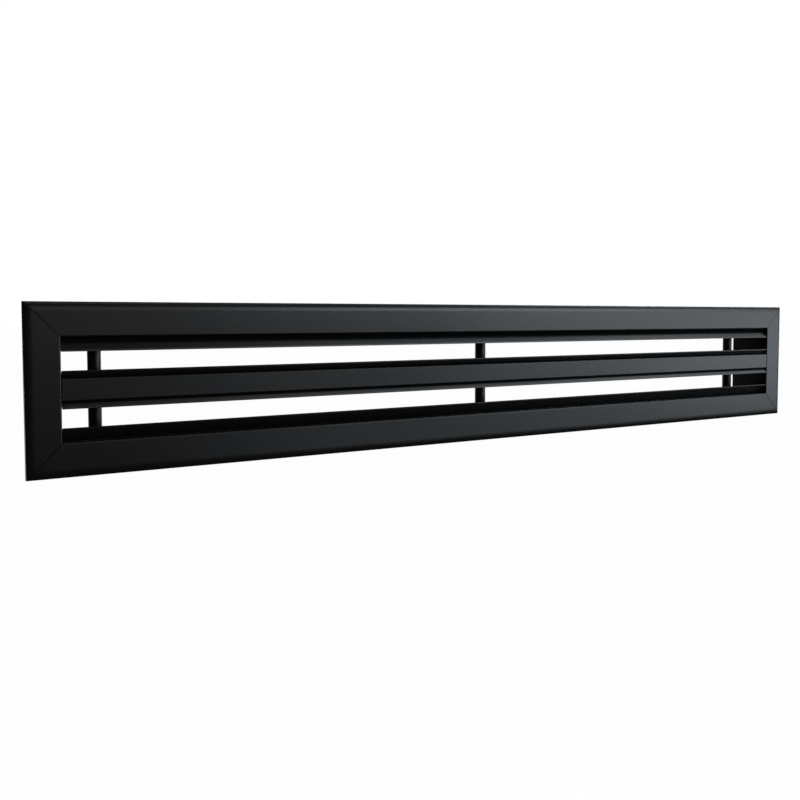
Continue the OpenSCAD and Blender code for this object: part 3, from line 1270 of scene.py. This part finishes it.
@dataclass
class TieRods:
    """Three threaded rods with their spacer tubes, washers and nuts."""

    rails: RailFrame
    bar: CentreBar
    black: Material
    zinc: Material
    thread: Thread = Thread(5.0, 0.42, 0.8)
    rod_free: float = 1.5
    point_share: float = 1.3
    spacer_d: float = 10.0
    spacer_edge: float = 0.4
    washer_d: float = 10.0
    washer_t: float = 1.0
    washer_edge: float = 0.18
    edge_sides: int = 4
    nut_af: float = 8.0
    nut_h: float = 4.0
    nut_bore: float = 5.1
    nut_edge: float = 0.55
    nut_face: float = 0.98
    nut_chamfer: float = 30.0

    @property
    def sheet(self) -> Sheet:
        """Drawing plane through the middle rod's axis, with v upward."""
        return Sheet(mm(0.0, self.rails.stations.rod_y, 0.0), RIGHT, UP)

    @property
    def washer_z(self) -> Span:
        """Heights of an upper washer's two faces, the first one on the neck."""
        low = self.rails.open_h / 2 + self.rails.neck_t
        return low, low + self.washer_t

    @property
    def nut_z(self) -> Span:
        """Heights of an upper nut's two faces, the first one on the washer."""
        low = self.washer_z[1]
        return low, low + self.nut_h

    def ring(self, name: str, across: float, ends: Span, edge: float) -> Piece:
        """Turns a tube or ring on the middle rod's axis.

        Args:
            name: Name of the new piece.
            across: Outer diameter.
            ends: Heights of its two ends.
            edge: Size of its broken outer edges.

        Returns:
            The ring.
        """
        low, high = ends
        bore, side, small = self.rails.stations.rod_hole_d / 2, across / 2, edge / 2
        return Piece.lathe(name, self.sheet, [
            (bore, low + small), (bore + small, low), (side - edge, low),
            Arc(side - edge, low + edge, 90.0, self.edge_sides), (side, high - edge),
            Arc(side - edge, high - edge, 90.0, self.edge_sides), (bore + small, high),
            (bore, high - small), (bore, low + small),
        ])

    def nut(self) -> Piece:
        """Models the upper nut of the middle rod.

        Returns:
            The nut, chamfered on both faces.
        """
        low, high = self.nut_z
        corner = self.nut_af / math.sqrt(3)
        flat = self.nut_af / 2 * self.nut_face
        bore = self.nut_bore / 2
        sink = bore + self.nut_edge
        drop = (corner - flat) * math.tan(math.radians(self.nut_chamfer))
        side = corner + Piece.CLEAR
        y = self.rails.stations.rod_y
        nut = Piece.hexagon("nut_blank", self.nut_af, (
            Vector((0.0, y, low - Piece.OVERRUN)), Vector((0.0, y, high + Piece.OVERRUN)),
        ))
        shell = Piece.lathe("nut_shell", self.sheet, [
            (bore, low + self.nut_edge), (sink, low), (flat, low), (side, low + drop),
            (side, high - drop), (flat, high), (sink, high), (bore, high - self.nut_edge),
            (bore, low + self.nut_edge),
        ])
        nut.combine(shell, Cut.TRIM)
        return nut

    def rod(self) -> Piece:
        """Models the middle rod.

        Returns:
            The rod, threaded over its length and chamfered at its ends.
        """
        top = self.nut_z[1] + self.rod_free
        edge = self.thread.depth * self.point_share
        side, tip = self.thread.across / 2 + Piece.CLEAR, self.thread.across / 2 - edge
        return Piece.stud("rod_blank", self.sheet, self.thread, [
            (0.0, -top), (tip, -top), (side, -top + edge), (side, top - edge), (tip, top), (0.0, top),
        ])

    def build(self) -> None:
        """Models rods, spacers, washers and nuts, and dresses them."""
        rod_xs = self.rails.stations.rod_xs
        slot_z = (self.bar.web_t / 2, self.rails.open_h / 2)
        spacer = self.ring("spacer_blank", self.spacer_d, slot_z, self.spacer_edge)
        rod = self.rod()
        for x, place in zip(rod_xs, ("left", "middle", "right")):
            upper, lower, middle = f"upper_{place}_spacer", f"lower_{place}_spacer", f"{place}_tie_rod"
            for made, node, material, slot in (
                (spacer.copy(upper + "_coated"), upper, self.black, Slot.SPACER),
                (spacer.mirrored(lower + "_coated", Axis.Z), lower, self.black, Slot.SPACER),
                (rod.copy(middle + "_threaded"), middle, self.zinc, Slot.ZINC),
            ):
                made.shift(mm(x, 0.0, 0.0))
                made.smooth()
                made.dress(material, slot, node)
        for used in (spacer, rod):
            used.remove()
        washer = self.ring("washer_blank", self.washer_d, self.washer_z, self.washer_edge)
        for blank, node in ((washer, "tie_rod_washers"), (self.nut(), "tie_rod_nuts")):
            ends = [blank, blank.mirrored(node + "_below", Axis.Z)]
            made = Piece.array(node + "_plated", ends, [mm(x, 0.0, 0.0) for x in rod_xs])
            made.dress(self.zinc, Slot.ZINC, node)


@dataclass
class CornerKeys:
    """Four L-shaped keys in the channels behind the flange, each with two set screws."""

    rails: RailFrame
    aluminium: Material
    zinc: Material
    gap: float = 0.05
    leg: float = 32.0
    thread: Thread = Thread(4.0, 0.38, 0.7)
    hole_d: float = 4.1
    hole_sides: int = 36
    screw_at: float = 18.25
    point_share: float = 1.2
    socket_af: float = 2.0
    socket_depth: float = 1.35
    broken_edge: float = 0.25

    @property
    def corner(self) -> Span:
        """Corner of the opening, along X and Z."""
        return self.rails.open_l / 2, self.rails.open_h / 2

    @property
    def sides(self) -> Span:
        """Distances of a leg's inner and outer side from the opening."""
        inner, outer = self.rails.channel
        return inner + self.gap, outer - self.gap

    @property
    def screw_places(self) -> list[Span]:
        """Works out where the two set screws of the top right key sit.

        Returns:
            Their places along X and Z.
        """
        x, z = self.corner
        middle = sum(self.sides) / 2
        along = self.sides[1] - self.screw_at
        return [(x + along, z + middle), (x + middle, z + along)]

    def sheet(self, x: float, z: float) -> Sheet:
        """Drawing plane through a set screw's axis, with v towards the wall."""
        return Sheet(mm(x, 0.0, z), RIGHT, INWARD)

    def key(self) -> Piece:
        """Models the top right key.

        Returns:
            The key with its two holes.
        """
        x, z = self.corner
        low, high = self.rails.back + self.gap, self.rails.back + self.rails.lip_depth - self.gap
        inner, outer = self.sides
        far = outer - self.leg
        flat = Sheet(mm(x, low, z), RIGHT, UP)
        key = Piece.extrude("top_right_key_cut", INWARD * (high - low) * MM, Outline(flat, [
            (outer, outer), (far, outer), (far, inner), (inner, inner),
            (inner, far), (outer, far), (outer, outer),
        ]))
        ends = (low - Piece.OVERRUN, high + Piece.OVERRUN)
        for place in self.screw_places:
            key.drill(self.sheet(*place), self.hole_d, ends, self.hole_sides)
        return key

    def set_screw(self) -> Piece:
        """Models a set screw on the part's middle.

        Returns:
            The set screw, with a cup point in front and a hexagon socket behind.
        """
        low, high = self.rails.back, -self.rails.lip_gap
        edge = self.thread.depth * self.point_share
        side, tip = self.thread.across / 2 + Piece.CLEAR, self.thread.across / 2 - edge
        screw = Piece.stud("set_screw", self.sheet(0.0, 0.0), self.thread, [
            (0.0, low + edge), (tip - edge, low), (tip, low), (side, low + edge),
            (side, high - edge), (tip, high), (0.0, high),
        ])
        socket = Piece.hexagon("socket", self.socket_af, (
            Vector((0.0, high - self.socket_depth, 0.0)), Vector((0.0, high + Piece.OVERRUN, 0.0)),
        ))
        screw.combine(socket, Cut.DRILL)
        return screw

    def build(self) -> None:
        """Models the keys and set screws and dresses them."""
        first = self.key()
        keys = {"top_right_key": first}
        for node, ways in (
            ("top_left_key", (Axis.X,)), ("bottom_right_key", (Axis.Z,)),
            ("bottom_left_key", (Axis.X, Axis.Z)),
        ):
            keys[node] = first.mirrored(node + "_cut", *ways)
        for node, key in keys.items():
            key.round_edges(self.broken_edge)
            key.dress(self.aluminium, Slot.KEY, node)
        moves = [
            mm(side * x, 0.0, level * z)
            for x, z in self.screw_places for side in (-1.0, 1.0) for level in (-1.0, 1.0)
        ]
        screws = Piece.array("corner_key_screws_plated", [self.set_screw()], moves)
        screws.dress(self.zinc, Slot.ZINC, "corner_key_screws")


@dataclass
class BarScrews:
    """Thread-forming screws that hold the centre bar to the end rails."""

    rails: RailFrame
    zinc: Material
    thread: Thread = Thread(3.9, 0.5, 1.3)
    shank_l: float = 14.0
    point_cut: float = 0.2
    head_d: float = 7.5
    head_h: float = 2.4
    head_edge: float = 0.15
    rim: float = 0.9
    crown_share: float = 0.95
    crown_turn: float = 72.0
    crown_sides: int = 9
    crown_flat: float = 0.4
    recess: tuple[float, float, float] = (4.5, 1.25, 1.2)
    recess_taper: float = 0.5

    @property
    def sheet(self) -> Sheet:
        """Drawing plane through the first screw's axis, with v out of the head."""
        seat_x = self.rails.open_l / 2 + self.rails.neck_t
        return Sheet(mm(seat_x, self.rails.stations.port_ys[0], 0.0), UP, RIGHT)

    def recess_arm(self) -> Piece:
        """Models one arm of the cross recess as a tapered block.

        Returns:
            The block, which stands through the head's crown.
        """
        long, wide, deep = self.recess
        high = deep + Piece.OVERRUN
        taper = self.recess_taper
        centre = self.sheet.at(0.0, self.head_h - deep + high / 2)
        bpy.ops.object.select_all(action="DESELECT")
        bpy.ops.mesh.primitive_cube_add(size=MM, location=centre)
        arm = Piece(bpy.context.active_object, "recess_arm")
        with arm.editing():
            bpy.ops.transform.resize(value=(high, wide, long), center_override=centre)
            bpy.ops.mesh.select_mode(type="FACE")
            bpy.ops.mesh.select_all(action="DESELECT")
            mesh = bmesh.from_edit_mesh(arm.item.data)
            inmost = min(mesh.faces, key=lambda face: face.normal.x)
            inmost.select_set(True)
            bmesh.update_edit_mesh(arm.item.data)
            bpy.ops.transform.resize(value=(1.0, taper, taper), center_override=centre)
        arm.settle()
        return arm

    def screw(self) -> Piece:
        """Models the first screw.

        Returns:
            The screw.
        """
        sheet, end, seat = self.sheet, -self.shank_l, self.rim / 2
        radius = self.thread.across / 2
        clear, tip = radius + Piece.CLEAR, radius - self.thread.depth - self.point_cut
        screw = Piece.stud("bar_screw", sheet, self.thread, [
            (0.0, end), (tip, end), (clear, end + self.thread.pitch), (clear, seat), (0.0, seat),
        ])
        side, crown = self.head_d / 2, self.head_h - self.rim
        head = Piece.lathe("head", sheet, [
            (0.0, 0.0), (side - self.head_edge, 0.0), (side, self.head_edge),
            (side, self.rim),
            Arc(side - crown * self.crown_share, self.rim, self.crown_turn, self.crown_sides),
            (side * self.crown_flat, self.head_h), (0.0, self.head_h),
        ])
        screw.combine(head, Cut.WELD)
        for degrees in (0.0, 90.0):
            arm = self.recess_arm()
            arm.turn(degrees, Axis.X, sheet.origin)
            screw.combine(arm, Cut.DRILL)
        return screw

    def build(self) -> None:
        """Models one screw, copies it to its four places and dresses them as one piece."""
        ys = self.rails.stations.port_ys
        right = self.screw()
        left = right.copy("left_bar_screw")
        left.turn(180.0, Axis.Z, mm(0.0, ys[0], 0.0))
        moves = [mm(0.0, y - ys[0], 0.0) for y in ys]
        screws = Piece.array("centre_bar_screws_plated", [right, left], moves)
        screws.dress(self.zinc, Slot.ZINC, "centre_bar_screws")


@dataclass(frozen=True)
class Lamp:
    """Soft box that faces the part, given by the angles that it covers as seen from the part's middle."""

    name: str
    azimuth: float
    elevation: float
    spread: float
    rise: float
    radiance: float
    colour: tuple[float, float, float] = (0.91, 1.0, 1.08)
    distance: float = 2.4

    def build(self) -> None:
        """Adds the lamp."""
        turn, climb = math.radians(self.azimuth), math.radians(self.elevation)
        way = Vector((math.sin(turn) * math.cos(climb), -math.cos(turn) * math.cos(climb), math.sin(climb)))
        data = bpy.data.lights.new(self.name, "AREA")
        data.shape = "RECTANGLE"
        data.size = 2 * self.distance * math.tan(math.radians(self.spread / 2)) * math.cos(climb)
        data.size_y = 2 * self.distance * math.tan(math.radians(self.rise / 2))
        data.energy = self.radiance * math.pi * data.size * data.size_y
        data.color = self.colour
        lamp = bpy.data.objects.new(self.name, data)
        bpy.context.scene.collection.objects.link(lamp)
        lamp.location = way * self.distance
        lamp.rotation_euler = way.to_track_quat("Z", "Y").to_euler()
        lamp.visible_camera = False


@dataclass
class Studio:
    """Camera, soft boxes, pale floor and world."""

    lens: float = 43.9
    sensor: float = 36.0
    camera_shift: float = -0.0348
    camera_place: tuple[float, float, float] = (-0.5851, -0.7052, 0.0525)
    camera_turn: tuple[float, float, float] = (86.682, 0.0, -33.964)
    ambient: float = 0.1
    dim: float = 0.025
    floor_z: float = -1.2
    floor_from: Span = (-4.0, 0.4)
    floor_to: Span = (150.0, 120.0)
    floor_colour: Colour = (0.86, 0.86, 0.86, 1.0)
    floor_white: float = 0.985
    lamps: tuple[Lamp, ...] = (
        Lamp("left_low_box", 8.0, 9.5, 22.0, 10.0, 0.92, WHITE[:3]),
        Lamp("left_middle_box", 9.0, -3.0, 26.0, 8.0, 0.18, WHITE[:3]),
        Lamp("low_box", 36.0, 10.0, 30.0, 9.0, 4.6),
        Lamp("low_right_box", 57.0, 10.0, 12.0, 9.0, 2.1),
        Lamp("middle_box", 44.0, 1.0, 14.0, 9.0, 1.8),
        Lamp("middle_right_box", 62.0, -0.5, 22.0, 9.0, 2.25),
        Lamp("under_box", 41.0, -9.0, 44.0, 10.0, 0.6),
        Lamp("right_box", 111.0, 33.0, 44.0, 15.0, 9.0),
        Lamp("right_middle_box", 63.0, 33.0, 24.0, 15.0, 2.0),
        Lamp("right_low_box", 91.0, 20.0, 32.0, 11.0, 3.4),
        Lamp("left_top_box", 17.0, 50.0, 40.0, 18.0, 0.8),
        Lamp("top_box", 56.0, 50.0, 38.0, 18.0, 0.8),
        Lamp("rear_box", 180.0, 50.0, 60.0, 26.0, 4.0, WHITE[:3]),
    )

    def build(self) -> None:
        """Sets up the studio."""
        self.add_camera()
        self.light_world()
        self.lay_floor()
        for lamp in self.lamps:
            lamp.build()
        bpy.context.scene.view_settings.view_transform = "Standard"

    def add_camera(self) -> None:
        """Adds the camera at the photograph's view."""
        data = bpy.data.cameras.new("camera")
        data.lens = self.lens
        data.sensor_width = self.sensor
        data.shift_y = self.camera_shift
        camera = bpy.data.objects.new("camera", data)
        bpy.context.scene.collection.objects.link(camera)
        camera.location = self.camera_place
        camera.rotation_euler = tuple(math.radians(turn) for turn in self.camera_turn)
        bpy.context.scene.camera = camera

    def light_world(self) -> None:
        """Fills the world with a dim light that is white to the camera and dimmer still in reflections."""
        world = bpy.data.worlds.new("studio")
        bpy.context.scene.world = world
        graph = Graph(world)
        seen = graph.rays(Ray.CAMERA, Ray.TRANSMISSION)
        around = graph.rays(Ray.GLOSSY) * (self.dim - self.ambient) + self.ambient
        light = graph.node(
            "ShaderNodeBackground", {}, {"Color": WHITE, "Strength": seen.largest(around)}, "Background",
        )
        graph.node("ShaderNodeOutputWorld", {}, {"Surface": light})

    def lay_floor(self) -> None:
        """Lays a pale floor below and behind the part, white to the camera and in reflections."""
        low, high = Vector((*self.floor_from, self.floor_z)), Vector((*self.floor_to, self.floor_z))
        bpy.ops.object.select_all(action="DESELECT")
        bpy.ops.mesh.primitive_plane_add(size=1.0, location=(low + high) / 2)
        floor = bpy.context.object
        floor.name = "studio_floor"
        floor.scale = (high.x - low.x, high.y - low.y, 1.0)
        bpy.ops.object.transform_apply(location=True, rotation=False, scale=True)
        material = bpy.data.materials.new("studio_floor")
        graph = Graph(material)
        seen = graph.rays(*Ray) * self.floor_white
        paint = graph.node("ShaderNodeBsdfDiffuse", {}, {"Color": self.floor_colour}, "BSDF")
        glow = graph.node("ShaderNodeEmission", {}, {"Color": WHITE, "Strength": 1.0}, "Emission")
        shown = graph.node("ShaderNodeMixShader", {}, {0: seen, 1: paint, 2: glow}, "Shader")
        graph.node("ShaderNodeOutputMaterial", {}, {"Surface": shown})
        floor.data.materials.append(material)


def main() -> None:
    """Builds and dresses every piece, and then the studio."""
    logging.basicConfig(level=logging.INFO, format="%(message)s")
    bar_hinge = Hinge(setback=0.1)
    black_x = PowderCoat("black_powder_coat_x", Axis.X).material()
    black_z = PowderCoat("black_powder_coat_z", Axis.Z).material()
    zinc = ZincPlate("zinc_plate").material()
    aluminium = MillAluminium("mill_aluminium").material()
    rails = RailFrame(Hinge(), Stations(bar_hinge), black_x, black_z)
    bar = CentreBar(rails, bar_hinge, black_x)
    for assembly in (
        rails, bar, BladeSet(rails, bar, black_x), TieRods(rails, bar, black_z, zinc),
        CornerKeys(rails, aluminium, zinc), BarScrews(rails, zinc), Studio(),
    ):
        assembly.build()


if __name__ == "__main__":
    main()
